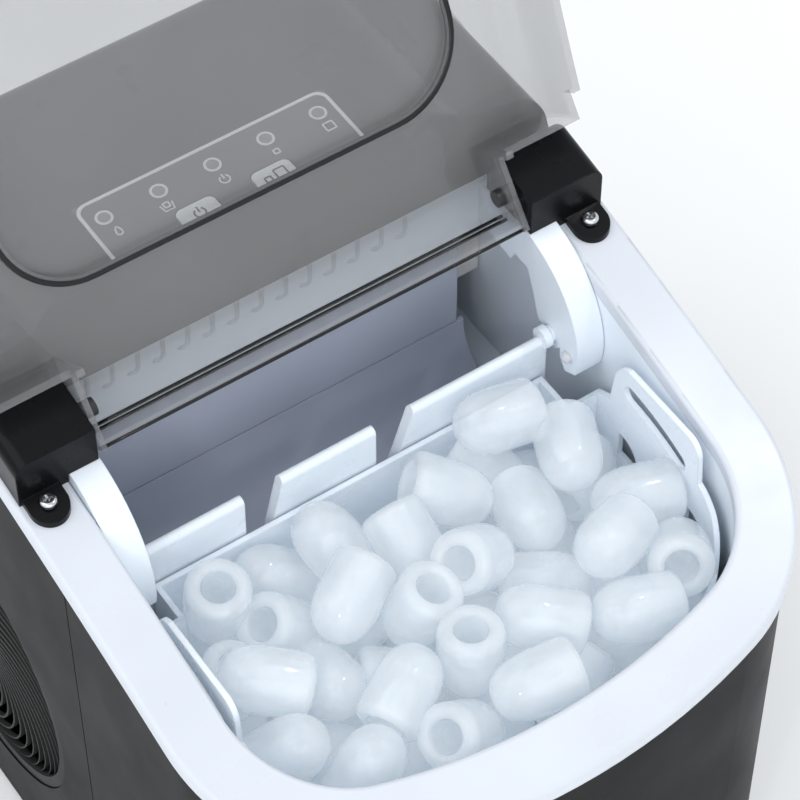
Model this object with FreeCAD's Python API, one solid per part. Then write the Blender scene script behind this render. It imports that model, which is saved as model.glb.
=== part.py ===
"""Countertop ice maker: a sheet of separate housings, a hinged clear lid, an ice-making unit and a basket.

Millimetres. X to the right, Y to the back, Z up. The origin is the centre of the footprint on the
surface that the machine stands on. The lid is modelled shut and then turned open to its rest pose.
"""
import FreeCAD, Part

import math
import os

from FreeCAD import Vector

# ---- driving dimensions -------------------------------------------------------------------------
WIDTH = 222.0  # over the lip of the white rim
FRONT_Y = -141.0
BACK_Y = 141.0
PANEL_Z = 264.0  # flat control panel above the floor
FOOT_HEIGHT = 8.0
FOOT_RADIUS = 11.0

BOW_RADIUS = 254.7  # gentle bow of the front in plan
CORNER_RADIUS = 60.0
RIM_WIDTH = 19.5
RIM_THICKNESS = 6.0
LIP = 2.0  # how far the rim overhangs the side panels
WALL = 2.5
SEAM_Y = -13.0  # where the front cover meets the side panels
SKIRT_Z = 14.0  # lower edge of the covers

HINGE_Y = 22.0
HINGE_Z = 246.6
LID_OPEN = 128.0  # degrees from shut to leaning back on its stop
LID_SLOPE = 11.6  # fall of the shut lid towards the front, degrees
LID_RISE = 17.0  # outer face of the lid above the hinge axis
LID_WALL = 2.5
LID_GAP = 0.6  # between the lid's skirt and the rim
LID_ROLL = 12.5  # rolled rear edge of the lid
LID_EAR_X = 80.0
LID_END_Y = 8.5
LID_BACK_Y = 34.5
DOME_HALF = 84.0
DOME_NEAR = 31.6
DOME_FAR = 150.0
DOME_CORNER = 28.0
DOME_RISE = 3.0
PIN_RADIUS = 3.0
RUNNING_FIT = 0.05

BLOCK_X = (81.0, 109.2)
BLOCK_Y = 10.5
BLOCK_CLEAR = 13.0  # radius about the hinge axis that the lid's end wall leaves free
SCREW_X = 101.6
SCREW_Y = 5.9
SCREW_RADIUS = 1.75
HEAD_RADIUS = 2.8
SCREW_SEAT = 2.75  # underside of a hinge screw's head above the rim

LABEL_HALF = 47.0
LABEL_Y = (52.3, 80.6)
LABEL_THICK = 0.5
LED_PITCH = 20.0
LED_Y = 72.0
LED_RADIUS = 2.1
BUTTON_X = 14.0
BUTTON_Y = 57.2
BUTTON_SIZE = (14.5, 8.8)
BUTTON_GAP = 0.35
BUTTON_PROUD = 0.2

CHEEK_X = (80.5, 91.3)
SHROUD_Y = (38.6, 40.9)
SHROUD_Z = (213.5, 239.0)

TRAY_Y = 66.0
TRAY_Z = 190.0
TRAY_RADIUS = 24.0
TRAY_WALL = 2.0
TRAY_HALF = 75.0
FINGER_COUNT = 9
FINGER_PITCH = 15.0
FINGER_RADIUS = 5.0

SHOVEL_Y = -3.5
SHOVEL_Z = 201.0
SHOVEL_THICK = 4.0
SHOVEL_FOOT_Z = 152.0

BASKET_HALF = 88.0
BASKET_BACK_Y = -6.3
BASKET_NOTCH = (75.5, -21.5)
BASKET_FLOOR_Z = 110.0
BASKET_WALL = 2.0

TUB_FLOOR_Z = 62.0
TUB_BACK_Y = 20.0
BAY_FLOOR_Z = 140.0
BAY_BACK_Y = 104.0

FAN_Y = 67.0
FAN_Z = 92.0
FAN_RADIUS = 40.0
VENT_Z = 96.0
VENT_RADIUS = 60.0
VENT_ARMS = 40


# ---- plain shapes -------------------------------------------------------------------------------
def box(x0, x1, y0, y1, z0, z1):
    return Part.makeBox(x1 - x0, y1 - y0, z1 - z0, Vector(x0, y0, z0))


def cylinder(start, along, radius, length):
    return Part.makeCylinder(radius, length, Vector(*start), Vector(*along))


def peg(x0, x1, y, z, radius):
    """Cylinder along X."""
    return cylinder((x0, y, z), (1, 0, 0), radius, x1 - x0)


def post(x, y, z0, z1, radius):
    """Cylinder along Z."""
    return cylinder((x, y, z0), (0, 0, 1), radius, z1 - z0)


def joined(shapes):
    first, *rest = shapes
    return first.fuse(rest).removeSplitter() if rest else first


def mirrored(shape):
    return shape.mirror(Vector(0, 0, 0), Vector(1, 0, 0))


def both(shape):
    return Part.makeCompound([shape, mirrored(shape)])


def chain(points):
    """Closed face from corner points, where a three-item entry is an arc (via, end)."""
    edges = []
    here = Vector(*points[0])
    for item in points[1:]:
        if isinstance(item[0], tuple):
            via, end = (Vector(*p) for p in item)
            edges.append(Part.Arc(here, via, end).toShape())
        else:
            end = Vector(*item)
            edges.append(Part.LineSegment(here, end).toShape())
        here = end
    if (here - Vector(*points[0])).Length > 1e-6:
        edges.append(Part.LineSegment(here, Vector(*points[0])).toShape())
    return Part.Face(Part.Wire(edges))


def side_profile(points, x0, x1):
    """Extrudes a (y, z) outline along X; an arc is written ((y, z), (y, z))."""
    full = []
    for item in points:
        if isinstance(item[0], tuple):
            full.append(tuple((x0, *p) for p in item))
        else:
            full.append((x0, *item))
    return chain(full).extrude(Vector(x1 - x0, 0, 0))


def tube(points, radius, bend):
    """Round tube along straight runs joined by tangent arcs of one radius."""
    corners = [Vector(*p) for p in points]
    edges = []
    here = corners[0]
    for before, corner, after in zip(corners, corners[1:], corners[2:]):
        into = (corner - before).normalize()
        out = (after - corner).normalize()
        half_turn = into.getAngle(out) / 2
        back = bend * math.tan(half_turn)
        start = corner - into * back
        end = corner + out * back
        inward = (out - into).normalize()
        middle = corner + inward * (bend / math.cos(half_turn) - bend)
        edges.append(Part.LineSegment(here, start).toShape())
        edges.append(Part.Arc(start, middle, end).toShape())
        here = end
    edges.append(Part.LineSegment(here, corners[-1]).toShape())
    path = Part.Wire(edges)
    circle = Part.makeCircle(radius, corners[0], corners[1] - corners[0])
    return path.makePipeShell([Part.Wire(circle)], True, True, 2)


def save(name, shape):
    shape.exportStep(f"parts/{name}.step")


# ---- shared outlines ----------------------------------------------------------------------------
def plan(inset, back_y, z=0.0):
    """Face of the machine's plan, moved in: straight sides, round corners and a bowed front."""
    half = WIDTH / 2 - inset
    corner = CORNER_RADIUS - inset
    bow = BOW_RADIUS - inset
    bow_y = FRONT_Y + BOW_RADIUS
    corner_x = half - corner
    corner_y = bow_y - math.sqrt((bow - corner) ** 2 - corner_x**2)
    angle = math.asin(corner_x / (bow - corner))
    middle = (angle + math.pi / 2) / 2
    touch = (bow * math.sin(angle), bow_y - bow * math.cos(angle), z)
    halfway = (corner_x + corner * math.sin(middle), corner_y - corner * math.cos(middle), z)

    def left(point):
        return (-point[0], point[1], point[2])

    side = (half, corner_y, z)
    return chain(
        [
            (half, back_y, z),
            side,
            (halfway, touch),
            ((0.0, bow_y - bow, z), left(touch)),
            (left(halfway), left(side)),
            (-half, back_y, z),
        ]
    )


def plan_prism(inset, back_y, z0, z1):
    return plan(inset, back_y, z0).extrude(Vector(0, 0, z1 - z0))


def rim_height(y):
    """The rim's top falls towards the front along a long arc."""
    ahead = 14.0 - y
    return 234.0 - 0.22 * ahead - 0.00044 * ahead**2


def under_rim(offset, floor=-50.0):
    """Everything below the rim's top, moved up by offset."""
    reach = 160.0
    arc = ((0.0, rim_height(0.0) + offset), (reach, rim_height(reach) + offset))
    return side_profile(
        [(-reach, floor), (-reach, rim_height(-reach) + offset), arc, (reach, floor)], -150, 150
    )


def mirrored_pair(name, make):
    """Saves a right-hand piece and its mirror image as two nodes."""
    shape = make()
    save(f"{name}_right", shape)
    save(f"{name}_left", mirrored(shape))


# ---- housing ------------------------------------------------------------------------------------
def rim_surround():
    ring = plan_prism(0, BACK_Y, 150, 270).cut(plan_prism(RIM_WIDTH, 120.0, 150, 270))
    shape = ring.common(under_rim(0)).cut(under_rim(-RIM_THICKNESS))
    soft = [
        e
        for e in shape.Edges
        if all(abs(v.Z - rim_height(v.Y)) < 0.3 for v in e.Vertexes)
        and len(e.Vertexes) == 2
        and e.CenterOfMass.y < 118
    ]
    shape = shape.makeFillet(1.6, soft)
    for side in (-1, 1):
        shape = shape.cut(post(side * SCREW_X, SCREW_Y, 200, 260, SCREW_RADIUS + RUNNING_FIT))
    return shape


def inner_tank():
    """White liner: a deep tub for the water in front and a shallower bay for the ice maker behind."""

    def hollow(grow):
        tub = plan_prism(RIM_WIDTH - grow, TUB_BACK_Y + grow, TUB_FLOOR_Z - grow, 270)
        bay = plan_prism(RIM_WIDTH - grow, BAY_BACK_Y + grow, BAY_FLOOR_Z - grow, 270)
        return joined([tub, bay])

    shape = hollow(2.2).cut(hollow(0)).common(under_rim(-RIM_THICKNESS))
    ledges = [
        box(84.5, WIDTH / 2 - RIM_WIDTH + 0.5, y, y + 12, 102, BASKET_FLOOR_Z - BASKET_WALL)
        for y in (-70.0, -20.0)
    ]
    drain = cylinder((70, 0, TUB_FLOOR_Z + 9), (0, 1, 0), 5.0, 60)
    pipes = [cylinder((x, 90, 228), (0, 1, 0), 3.6, 40) for x in (-40.0, 40.0)]
    hose = cylinder((-14, 90, 236), (0, 1, 0), 3.6, 40)
    shape = joined([shape, *ledges, *[mirrored(s) for s in ledges]])
    return shape.cut([drain, *pipes, hose])


def base_pan():
    floor = plan_prism(LIP + 0.6, 137.0, FOOT_HEIGHT, 11.0)
    wall = plan_prism(LIP + 3.2, 134.8, 11.0, 24.0).cut(plan_prism(LIP + 5.2, 132.8, 11.0, 24.0))
    slots = [box(x - 2, x + 2, 30, 100, 0, 30) for x in range(-80, 81, 16)]
    return joined([floor, wall]).cut(slots)


def feet():
    places = [(side * 84.0, y) for side in (-1, 1) for y in (-98.0, 112.0)]
    pads = []
    for x, y in places:
        pad = post(x, y, 0, FOOT_HEIGHT, FOOT_RADIUS)
        pad = pad.makeChamfer(1.2, [e for e in pad.Edges if e.CenterOfMass.z < 0.1])
        pads.append(pad.cut(post(x, y, -1, 3.5, 3.5)))
    return Part.makeCompound(pads)


def front_cover():
    shell = plan_prism(LIP, SEAM_Y, SKIRT_Z, 260).cut(plan_prism(LIP + WALL, 150, 0, 300))
    return shell.common(under_rim(-RIM_THICKNESS))


def side_blank():
    """Right-hand side panel before its vent is cut."""
    outer = WIDTH / 2 - LIP
    slab = box(outer - WALL, outer, SEAM_Y + 0.5, 138.0, SKIRT_Z, 270)
    return slab.common(under_rim(-RIM_THICKNESS))


def right_side_panel():
    slots = [box(100, 115, 40, 112, z, z + 3.5) for z in range(48, 121, 9)]
    return side_blank().cut(slots)


def left_side_panel():
    return mirrored(side_blank()).cut(peg(-115, -100, FAN_Y, VENT_Z, VENT_RADIUS + 0.3))


def vent_grille():
    """Round grille: many thin arms that swirl out from a small hub."""
    x0, x1 = -108.4, -104.4
    ring = peg(x0, x1, FAN_Y, VENT_Z, VENT_RADIUS).cut(peg(x0, x1, FAN_Y, VENT_Z, VENT_RADIUS - 4))
    flange = peg(-106.4, -104.4, FAN_Y, VENT_Z, VENT_RADIUS + 3.0)
    flange = flange.cut(peg(-107, -104, FAN_Y, VENT_Z, VENT_RADIUS - 4))
    hub = peg(-107.4, x1, FAN_Y, VENT_Z, 13.0)
    swirl = math.radians(75.0)
    half = 0.6
    arms = []
    for i in range(VENT_ARMS):
        turn = 2 * math.pi * i / VENT_ARMS

        def spot(radius, lag, shift):
            angle = turn + lag * swirl
            y = FAN_Y + radius * math.cos(angle) - shift * math.sin(angle)
            z = VENT_Z + radius * math.sin(angle) + shift * math.cos(angle)
            return (y, z)

        start, middle, end = (12.0, 0.0), (36.0, 0.42), (57.0, 1.0)
        outline = [
            spot(*start, -half),
            (spot(*middle, -half), spot(*end, -half)),
            spot(*end, half),
            (spot(*middle, half), spot(*start, half)),
        ]
        arms.append(side_profile(outline, -107.4, -105.4))
    return joined([ring, flange, hub, *arms])


def rear_panel():
    slab = box(-106.3, 106.3, 135.0, 137.5, SKIRT_Z, 270).common(under_rim(-RIM_THICKNESS))
    louvres = [
        box(x, x + 34, 130, 140, z, z + 3.5) for z in range(70, 151, 9) for x in (-84, -40)
    ]
    inlet = box(52.0, 84.0, 130, 140, 38.0, 62.0)
    drain = cylinder((0, 130, 34), (0, 1, 0), 7.2, 12)
    holes = [cylinder((x, 130, z), (0, 1, 0), 1.9, 12) for x, z in REAR_SCREWS]
    return slab.cut([*louvres, inlet, drain, *holes])


REAR_SCREWS = [(side * 98.0, z) for side in (-1, 1) for z in (26.0, 130.0, 236.0)]


def rear_screws():
    screws = []
    for x, z in REAR_SCREWS:
        head = cylinder((x, 137.5, z), (0, 1, 0), 3.2, 1.9)
        shank = cylinder((x, 126.0, z), (0, 1, 0), 1.75, 12.0)
        cross = joined(
            [box(x - 1.6, x + 1.6, 138.4, 141, z - 0.35, z + 0.35),
             box(x - 0.35, x + 0.35, 138.4, 141, z - 1.6, z + 1.6)]
        )
        screws.append(joined([head, shank]).cut(cross))
    return Part.makeCompound(screws)


def power_inlet():
    """Two-pin appliance socket set into the rear panel."""
    flange = box(49.0, 87.0, 137.5, 139.5, 35.0, 65.0)
    can = box(52.2, 83.8, 118.0, 137.5, 38.2, 61.8)
    cavity = box(56.0, 80.0, 122.0, 140.0, 43.0, 57.0)
    pins = [cylinder((x, 121.5, 50), (0, 1, 0), 1.3, 12) for x in (63.5, 72.5)]
    return joined([joined([flange, can]).cut(cavity), *pins])


def drain_plug():
    cap = cylinder((0, 137.7, 34), (0, 1, 0), 9.0, 2.6)
    stem = cylinder((0, 120.0, 34), (0, 1, 0), 6.0, 17.7)
    grip = box(-1.5, 1.5, 137.9, 141.0, 27.0, 41.0)
    return joined([cap, stem, grip])


def drain_spout():
    body = cylinder((0, 108.0, 34), (0, 1, 0), 9.0, 26.5)
    return body.cut(cylinder((0, 112.0, 34), (0, 1, 0), 6.4, 30))


# ---- top cover and controls ---------------------------------------------------------------------
def cover_form(shrink):
    """Top cover as a solid: crowned across, with a sloped front that the open lid leans on."""
    half = WIDTH / 2 - 1.4 - shrink
    top = PANEL_Z - shrink
    low = 225.0
    across = chain(
        [
            (-half, 0, low),
            (-half, 0, top - 17),
            ((-half + 3.2, 0, top - 10.6), (-half + 10, 0, top - 8)),
            (-80, 0, top - 5.4),
            ((-74, 0, top - 1.4), (-64, 0, top)),
            (64, 0, top),
            ((74, 0, top - 1.4), (80, 0, top - 5.4)),
            (half - 10, 0, top - 8),
            ((half - 3.2, 0, top - 10.6), (half, 0, top - 17)),
            (half, 0, low),
        ]
    ).extrude(Vector(0, 200, 0))
    lean = 0.4964
    base_y = 38.3 + shrink * 1.1
    front_top = base_y + lean * (top - 239.0)
    front_low = base_y + lean * (low - 239.0)
    back = 140.0 - shrink
    along = side_profile(
        [
            (front_low, low),
            (front_top, top),
            (back - 7, top),
            ((back - 2.05, top - 2.05), (back, top - 7)),
            (back, low),
        ],
        -150,
        150,
    )
    return across.common(along)


def window(x, grow):
    wide, deep = (s / 2 + grow for s in BUTTON_SIZE)
    shape = box(x - wide, x + wide, BUTTON_Y - deep, BUTTON_Y + deep, 240, 280)
    return shape.makeFillet(2.6 + grow, [e for e in shape.Edges if abs(e.tangentAt(0).z) > 0.9])


def lens_places():
    return [(i * LED_PITCH, LED_Y) for i in range(-2, 3)]


def top_cover():
    shape = cover_form(0).cut(cover_form(WALL)).cut(under_rim(0))
    shape = shape.cut(box(-LABEL_HALF, LABEL_HALF, *LABEL_Y, PANEL_Z - LABEL_THICK, 280))
    holes = [post(x, y, 240, 280, LED_RADIUS) for x, y in lens_places()]
    return shape.cut([*holes, window(-BUTTON_X, BUTTON_GAP), window(BUTTON_X, BUTTON_GAP)])


def control_label():
    plate = box(-LABEL_HALF, LABEL_HALF, *LABEL_Y, PANEL_Z - LABEL_THICK, PANEL_Z)
    holes = [post(x, y, 240, 280, LED_RADIUS) for x, y in lens_places()]
    return plate.cut([*holes, window(-BUTTON_X, BUTTON_GAP), window(BUTTON_X, BUTTON_GAP)])


def indicator_lenses():
    pipes = [post(x, y, 252.6, PANEL_Z + 0.15, LED_RADIUS) for x, y in lens_places()]
    return Part.makeCompound(pipes)


def button(x):
    key = window(x, 0).common(box(-60, 60, 0, 100, 255.0, PANEL_Z + BUTTON_PROUD))
    top = PANEL_Z + BUTTON_PROUD - 0.01
    key = key.makeFillet(0.5, [e for e in key.Edges if e.CenterOfMass.z > top])
    stem = post(x, BUTTON_Y, 253.6, 255.0, 1.8)
    return joined([key, stem])


def control_board():
    board = box(-52, 52, 53.0, 90.0, 244.4, 246.0)
    keys = [box(x - 3, x + 3, BUTTON_Y - 3, BUTTON_Y + 3, 246.0, 249.5) for x in (-BUTTON_X, BUTTON_X)]
    caps = [post(x, BUTTON_Y, 249.5, 251.6, 1.7) for x in (-BUTTON_X, BUTTON_X)]
    lights = [post(x, y, 246.0, 252.4, 1.5) for x, y in lens_places()]
    plug = box(-46, -30, 80, 88, 246.0, 252.0)
    return joined([board, plug, *keys, *caps, *lights])


# ---- lid and hinge ------------------------------------------------------------------------------
def plate_height(y, drop):
    """Height of the shut lid's sloping face, drop below its outside."""
    slope = math.radians(LID_SLOPE)
    return HINGE_Z + (LID_RISE - drop) / math.cos(slope) + (y - HINGE_Y) * math.tan(slope)


def lid_form(shrink):
    """The shut lid as a solid, moved in by shrink on every side but the open underside."""
    slope = math.radians(LID_SLOPE)
    roll = LID_ROLL - shrink
    roll_z = HINGE_Z + (LID_RISE - LID_ROLL) / math.cos(slope)
    back = LID_BACK_Y - shrink
    ear = LID_EAR_X - shrink
    wide = plan_prism(LIP + shrink, LID_END_Y - shrink, 150, 300)
    middle = box(-ear, ear, -20, back, 150, 300)
    start_y = HINGE_Y - roll * math.sin(slope)
    start_z = roll_z + roll * math.cos(slope)
    bend = (HINGE_Y + roll * math.sin(0.7), roll_z + roll * math.cos(0.7))
    reach = -160.0
    profile = side_profile(
        [
            (reach, 150.0),
            (reach, start_z + (reach - start_y) * math.tan(slope)),
            (start_y, start_z),
            (bend, (back, roll_z)),
            (back, 150.0),
        ],
        -150,
        150,
    )
    shape = joined([wide, middle]).common(profile)
    edge_radius = 11.0 - shrink
    if edge_radius > 0:
        top_edges = [e for e in shape.Edges if is_lid_edge(e, shrink)]
        shape = shape.makeFillet(edge_radius, top_edges)
    return shape


def is_lid_edge(edge, shrink):
    """Edges where the lid's face meets its front and side skirts."""
    flat = all(abs(v.Z - plate_height(v.Y, shrink)) < 0.2 for v in edge.Vertexes)
    centre = edge.CenterOfMass
    outer = abs(centre.x) > WIDTH / 2 - LIP - shrink - 0.5 or centre.y < -70
    return flat and outer and edge.Length > 5


def dome(shrink, low, high):
    """Raised pad of the lid, in the shut pose."""
    half = DOME_HALF - shrink
    pad = box(-half, half, -DOME_FAR + shrink, -DOME_NEAR - shrink, low, high)
    pad = pad.makeFillet(DOME_CORNER - shrink, [e for e in pad.Edges if abs(e.tangentAt(0).z) > 0.9])
    pad.rotate(Vector(0, 0, 0), Vector(1, 0, 0), LID_SLOPE)
    pad.translate(Vector(0, HINGE_Y, HINGE_Z))
    return pad


def opened(shape):
    turned = shape.copy()
    turned.rotate(Vector(0, HINGE_Y, HINGE_Z), Vector(1, 0, 0), -LID_OPEN)
    return turned


def lid():
    shell = lid_form(0).cut(lid_form(LID_WALL))
    shell = shell.cut(under_rim(LID_GAP).common(box(-150, 150, -160, LID_END_Y + 0.01, 0, 300)))
    shell = shell.cut(box(-150, 150, LID_END_Y - 0.01, 60, 0, 240.5))
    shell = shell.cut(box(-78, 78, LID_END_Y, 60, 0, 242.0))
    for side in (-1, 1):
        x0, x1 = sorted((side * (LID_EAR_X + 0.2), side * 112.0))
        shell = shell.cut(box(x0, x1, -2.0, 9.5, 200, 238.2))
    raised = dome(0, LID_RISE - 1.0, LID_RISE + DOME_RISE)
    hollow = dome(LID_WALL, LID_RISE - 6.0, LID_RISE + DOME_RISE - LID_WALL)
    shell = joined([shell, raised]).cut(hollow)
    for side in (-1, 1):
        x0, x1 = sorted((side * 70.0, side * 85.0))
        shell = shell.cut(peg(x0, x1, HINGE_Y, HINGE_Z, PIN_RADIUS))
    return opened(shell)


def lid_hinge_pins():
    return both(peg(75.0, 91.0, HINGE_Y, HINGE_Z, PIN_RADIUS))


def hinge_block():
    """Black block that carries a lid pin, with a rounded screw tab in front."""
    x0, x1 = BLOCK_X
    top_z = 251.3
    crest = (31.6, 255.4)
    reach = HINGE_Y + BLOCK_CLEAR
    bend = (
        HINGE_Y + BLOCK_CLEAR * math.cos(math.radians(21)),
        HINGE_Z + BLOCK_CLEAR * math.sin(math.radians(21)),
    )
    body = side_profile(
        [(BLOCK_Y, 225.0), (BLOCK_Y, top_z), crest, (bend, (reach, HINGE_Z)), (reach, 225.0)], x0, x1
    )
    outer = [e for e in body.Edges if e.CenterOfMass.x > x1 - 0.1 and e.CenterOfMass.z > 250]
    body = body.makeFillet(5.0, outer)
    body = body.cut(box(x0 - 1, 91.8, 0, 60, 200, 236.6))
    tab = joined(
        [post(SCREW_X, SCREW_Y, 225, 250, 6.6), box(SCREW_X - 6.6, SCREW_X + 6.6, SCREW_Y, 12, 225, 250)]
    ).common(under_rim(2.4))
    shape = joined([body, tab]).cut(under_rim(0.0).common(box(91.8, 150, -50, 80, 0, 300)))
    shape = shape.cut(peg(x0 - 1, 93.0, HINGE_Y, HINGE_Z, PIN_RADIUS + RUNNING_FIT))
    seat = rim_height(SCREW_Y) + SCREW_SEAT
    shape = shape.cut(post(SCREW_X, SCREW_Y, seat - 0.02, 260, HEAD_RADIUS + 0.3))
    return shape.cut(post(SCREW_X, SCREW_Y, 200, 260, SCREW_RADIUS + 0.15))


def hinge_screws():
    seat = rim_height(SCREW_Y) + SCREW_SEAT
    head = post(SCREW_X, SCREW_Y, seat, seat + 2.0, HEAD_RADIUS)
    head = head.makeFillet(1.1, [e for e in head.Edges if e.CenterOfMass.z > seat + 1.9])
    shank = post(SCREW_X, SCREW_Y, seat - 12, seat, SCREW_RADIUS)
    cross = joined(
        [box(SCREW_X - 1.7, SCREW_X + 1.7, SCREW_Y - 0.4, SCREW_Y + 0.4, seat + 0.9, seat + 4),
         box(SCREW_X - 0.4, SCREW_X + 0.4, SCREW_Y - 1.7, SCREW_Y + 1.7, seat + 0.9, seat + 4)]
    )
    return both(joined([head, shank]).cut(cross))


# ---- ice-making bay -----------------------------------------------------------------------------
def evaporator_shroud():
    half = WIDTH / 2 - RIM_WIDTH - 0.2
    plate = box(-half, half, *SHROUD_Y, *SHROUD_Z).common(under_rim(-0.05))
    hem = box(-half, half, SHROUD_Y[0] - 1.2, SHROUD_Y[0], SHROUD_Z[0], SHROUD_Z[0] + 1.6)
    return joined([plate, hem])


def cheek():
    """White side bracket that curves down beside the basket and carries an ice-level sensor."""
    body = side_profile(
        [
            (10.5, 236.4),
            ((-11.2, 222.5), (-17.5, 193.0)),
            (-12.0, 190.0),
            (-9.0, 194.5),
            (-8.6, 199.0),
            (3.6, 200.9),
            (7.2, 212.0),
            (10.7, 220.4),
            (18.0, 220.3),
            (20.0, 216.0),
            (38.4, 218.3),
            (38.4, 236.4),
        ],
        *CHEEK_X,
    )
    boss = peg(*CHEEK_X, SHOVEL_Y, SHOVEL_Z, 5.6)
    shape = joined([body, boss]).cut(peg(70, 89.5, SHOVEL_Y, SHOVEL_Z, PIN_RADIUS + RUNNING_FIT))
    return shape.cut(peg(70, 87.0, -13.4, 198.7, 2.2))


def ir_lamp(side):
    body = peg(80.4, 87.0, -13.4, 198.7, 2.2)
    tip = Part.makeSphere(2.2, Vector(80.4, -13.4, 198.7))
    shape = joined([body, tip])
    return shape if side > 0 else mirrored(shape)


def water_tray():
    """Tilting trough under the cold fingers, with a tall smooth front."""
    outer = peg(-TRAY_HALF, TRAY_HALF, TRAY_Y, TRAY_Z, TRAY_RADIUS)
    inner = peg(-TRAY_HALF + TRAY_WALL, TRAY_HALF - TRAY_WALL, TRAY_Y, TRAY_Z, TRAY_RADIUS - TRAY_WALL)
    trough = outer.cut(inner).cut(box(-90, 90, 0, 120, TRAY_Z, 260))
    front_y = TRAY_Y - TRAY_RADIUS
    front = box(-TRAY_HALF, TRAY_HALF, front_y, front_y + TRAY_WALL, 166.0, 212.6)
    back_y = TRAY_Y + TRAY_RADIUS
    back = box(-TRAY_HALF, TRAY_HALF, back_y - TRAY_WALL, back_y, TRAY_Z, 196.0)
    end = box(TRAY_HALF - TRAY_WALL, TRAY_HALF, front_y, back_y, TRAY_Z, 196.0)
    pin = peg(TRAY_HALF - TRAY_WALL, 81.5, TRAY_Y, TRAY_Z, 4.0)
    return joined([trough, front, back, end, mirrored(end), pin, mirrored(pin)])


def tray_gear_motor():
    case = box(79.5, 90.8, 52.0, 92.0, 172.0, 206.0)
    case = case.makeFillet(3.0, [e for e in case.Edges if abs(e.tangentAt(0).x) > 0.9])
    return case.cut(peg(70, 82.0, TRAY_Y, TRAY_Z, 4.0 + RUNNING_FIT))


def tray_bearing():
    plate = box(-90.8, -79.5, 56.0, 76.0, 180.0, 200.0)
    return plate.cut(peg(-82.0, -70, TRAY_Y, TRAY_Z, 4.0 + RUNNING_FIT))


def evaporator():
    """Cold tube with a row of fingers on which the ice grows."""
    line_z = 228.0
    header = peg(-66, 66, TRAY_Y, line_z, 5.0)
    fingers = []
    first = -FINGER_PITCH * (FINGER_COUNT - 1) / 2
    for i in range(FINGER_COUNT):
        x = first + i * FINGER_PITCH
        fingers.append(post(x, TRAY_Y, 182.0, line_z, FINGER_RADIUS))
        fingers.append(Part.makeSphere(FINGER_RADIUS, Vector(x, TRAY_Y, 182.0)))
    bridge = box(-70, 70, TRAY_Y - 9, TRAY_Y + 9, line_z + 3, line_z + 6)
    return joined([header, bridge, *fingers])


def drip_chute():
    """Smooth apron below the tray that leads spilled water back to the tub."""
    half = 78.0
    outside = [
        (43.6, 165.2),
        ((36.8, 148.4), (20.0, 141.4)),
        (2.0, 141.4),
        (2.0, 143.2),
        (20.0, 143.2),
        ((35.5, 149.7), (42.0, 165.2)),
    ]
    return side_profile(outside, -half, half)


def ice_shovel():
    """Swinging rake: three round-topped tabs on a bar, with a pivot stud at each end."""
    y0 = SHOVEL_Y - SHOVEL_THICK / 2
    y1 = SHOVEL_Y + SHOVEL_THICK / 2
    top = SHOVEL_Z + 0.6
    half = 77.6
    plate = side_profile(
        [
            (y0, SHOVEL_FOOT_Z),
            (y0, top - 2.0),
            ((SHOVEL_Y, top), (y1, top - 2.0)),
            (y1, SHOVEL_FOOT_Z),
        ],
        -half,
        half,
    )
    gap_floor = 176.0
    for near, far_low, far_top in ((-40.0, -31.5, -25.5), (10.0, 16.5, 25.0)):
        gap = chain(
            [(near, 0, gap_floor), (far_low, 0, gap_floor), (far_top, 0, top + 1), (near, 0, top + 1)]
        ).extrude(Vector(0, 30, 0))
        gap.translate(Vector(0, -15, 0))
        plate = plate.cut(gap)
    ribs = [box(x - 1, x + 1, y1 - 0.5, y1 + 3, SHOVEL_FOOT_Z, 172) for x in (-60, -20, 20, 60)]
    stud = peg(half - 1.6, 89.0, SHOVEL_Y, SHOVEL_Z, PIN_RADIUS)
    collar = peg(half - 1.6, half + 1.4, SHOVEL_Y, SHOVEL_Z, 4.0)
    return joined([plate, *ribs, stud, mirrored(stud), collar, mirrored(collar)])


# ---- basket -------------------------------------------------------------------------------------
def basket_form(shrink, z0, z1):
    notch_x, notch_y = BASKET_NOTCH
    wide = plan_prism(WIDTH / 2 - BASKET_HALF + shrink, notch_y - shrink, z0, z1)
    middle = box(-notch_x + shrink, notch_x - shrink, -60, BASKET_BACK_Y - shrink, z0, z1)
    return joined([wide, middle])


def basket():
    """Ice basket with raised handles, drain windows and a slotted floor."""
    shape = basket_form(0, BASKET_FLOOR_Z - BASKET_WALL, 216)
    shape = shape.cut(basket_form(BASKET_WALL, BASKET_FLOOR_Z, 220))
    skyline = side_profile(
        [
            (0.0, 100.0),
            (0.0, 185.0),
            (-21.0, 185.0),
            (-29.5, 190.0),
            (-31.0, 202.0),
            ((-33.0, 208.0), (-38.0, 212.0)),
            (-69.0, 212.0),
            ((-73.5, 210.2), (-75.5, 206.0)),
            (-76.5, 194.5),
            (-84.0, 192.0),
            ((-93.5, 187.6), (-100.0, 180.0)),
            (-150.0, 180.0),
            (-150.0, 100.0),
        ],
        -120,
        120,
    )
    shape = shape.common(skyline)
    slot = side_profile(
        [
            (-40.0, 205.4),
            ((-36.7, 201.6), (-40.5, 198.0)),
            ((-52.0, 196.6), (-66.0, 192.6)),
            ((-69.6, 196.0), (-66.6, 199.6)),
            ((-54.0, 203.6), (-40.0, 205.4)),
        ],
        -120,
        120,
    )
    windows = []
    for y in (-36.0, -54.0, -72.0):
        windows.append(
            side_profile([(y, 167.0), (y, 178.0), ((y - 8.6, 174.4), (y - 10.0, 167.0))], -120, 120)
        )
    floor_slots = [
        box(x - 1.5, x + 1.5, y, y + 26, 100, 115)
        for x in range(-64, 65, 16)
        for y in (-98.0, -60.0, -40.0)
    ]
    return shape.cut([slot, *windows, *floor_slots])


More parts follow.
